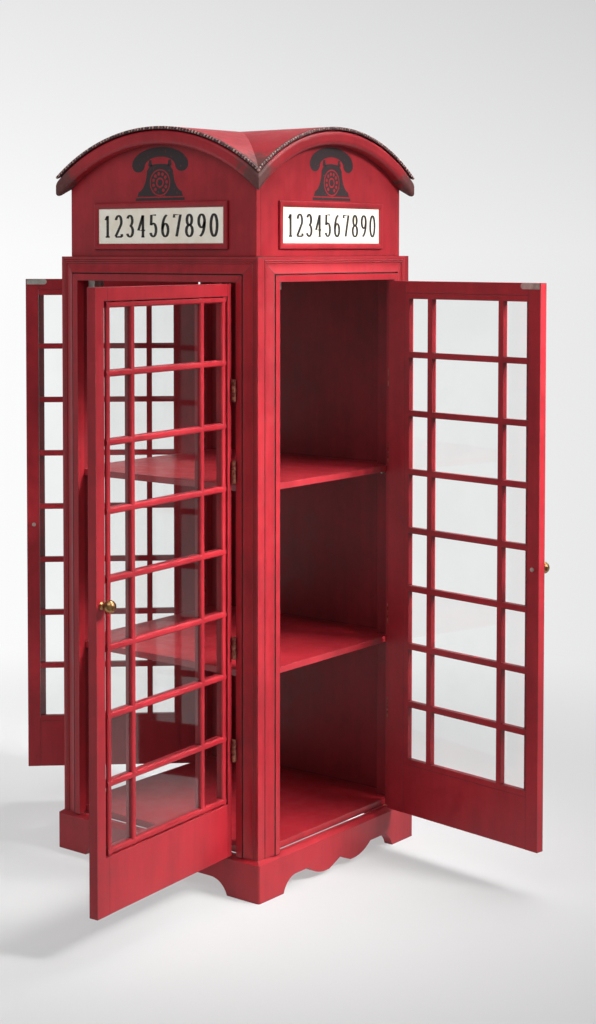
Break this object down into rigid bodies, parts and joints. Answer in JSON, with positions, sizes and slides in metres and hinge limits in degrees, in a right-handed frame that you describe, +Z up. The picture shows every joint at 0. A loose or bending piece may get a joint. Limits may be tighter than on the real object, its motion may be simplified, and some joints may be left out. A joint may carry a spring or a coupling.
{
  "type": "telephone booth display cabinet",
  "caption": "Red display cabinet shaped like a telephone booth: scalloped plinth, inside shelves, lattice-glazed doors on three sides and a vaulted roof.",
  "frame": {"origin": "centre of the footprint, on the plane of the floor", "axes": "+Z up, front door on -Y, closed back on +Y, right-hand door on +X"},
  "size_m": [1.1346, 0.8896, 1.4],
  "materials": {
    "red_paint": "satin red paint, antiqued with dark worn edges",
    "inner_red_paint": "satin red paint",
    "bare_wood": "unfinished",
    "dark_bead": "dark antiqued paint",
    "cream_enamel": "satin cream paint",
    "aged_brass": "aged",
    "plated_steel": "zinc plated",
    "clear_glass": "clear float glass"
  },
  "bodies": {
    "cabinet": {"base_front_apron": "red_paint", "base_back_apron": "red_paint", "base_left_apron": "red_paint", "base_right_apron": "red_paint", "base_corner_blocks": "bare_wood", "floor_board": "inner_red_paint", "lower_shelf": "inner_red_paint", "upper_shelf": "inner_red_paint", "shelf_pins": "plated_steel", "back_panel": "inner_red_paint", "corner_posts": "inner_red_paint", "front_frame_stiles": "red_paint", "front_frame_head": "red_paint", "left_frame_stiles": "red_paint", "right_frame_stiles": "red_paint", "side_frame_heads": "red_paint", "top_board": "inner_red_paint", "front_tympanum": "red_paint", "back_tympanum": "red_paint", "left_tympanum": "red_paint", "right_tympanum": "red_paint", "roof_panels": "red_paint", "front_roof_fascia": "red_paint", "back_roof_fascia": "red_paint", "left_roof_fascia": "red_paint", "right_roof_fascia": "red_paint", "roof_bead_strips": "dark_bead", "sign_frames": "red_paint", "sign_plates": "cream_enamel", "door_catches": "plated_steel", "frame_hinge_leaves": "aged_brass", "frame_hinge_screws": "aged_brass", "hinge_pins": "aged_brass"},
    "front_door": {"front_door_stiles": "red_paint", "front_door_rails": "red_paint", "front_door_lattice": "red_paint", "front_door_glass": "clear_glass", "front_door_knob": "aged_brass", "front_door_knob_bolt": "plated_steel", "front_door_strike_plate": "plated_steel", "front_door_hinge_leaves": "aged_brass", "front_door_hinge_screws": "aged_brass"},
    "right_door": {"right_door_stiles": "red_paint", "right_door_rails": "red_paint", "right_door_lattice": "red_paint", "right_door_glass": "clear_glass", "right_door_knob": "aged_brass", "right_door_knob_bolt": "plated_steel", "right_door_strike_plate": "plated_steel", "right_door_hinge_leaves": "aged_brass", "right_door_hinge_screws": "aged_brass"},
    "left_door": {"left_door_stiles": "red_paint", "left_door_rails": "red_paint", "left_door_lattice": "red_paint", "left_door_glass": "clear_glass", "left_door_knob": "aged_brass", "left_door_knob_bolt": "plated_steel", "left_door_strike_plate": "plated_steel", "left_door_hinge_leaves": "aged_brass", "left_door_hinge_screws": "aged_brass"}
  },
  "joints": [
    {"name": "front_door_hinge", "type": "hinge", "parent": "cabinet", "child": "front_door", "pos_m": [0.19425, -0.2513, 0.6], "axis": [0, 0, 1], "range_deg": [-94.5, 80.5]},
    {"name": "right_door_hinge", "type": "hinge", "parent": "cabinet", "child": "right_door", "pos_m": [0.2513, 0.18225, 0.6], "axis": [0, 0, 1], "range_deg": [-82, 93]},
    {"name": "left_door_hinge", "type": "hinge", "parent": "cabinet", "child": "left_door", "pos_m": [-0.2513, 0.18225, 0.6], "axis": [0, 0, -1], "range_deg": [-46.6, 128.4]}
  ]
}
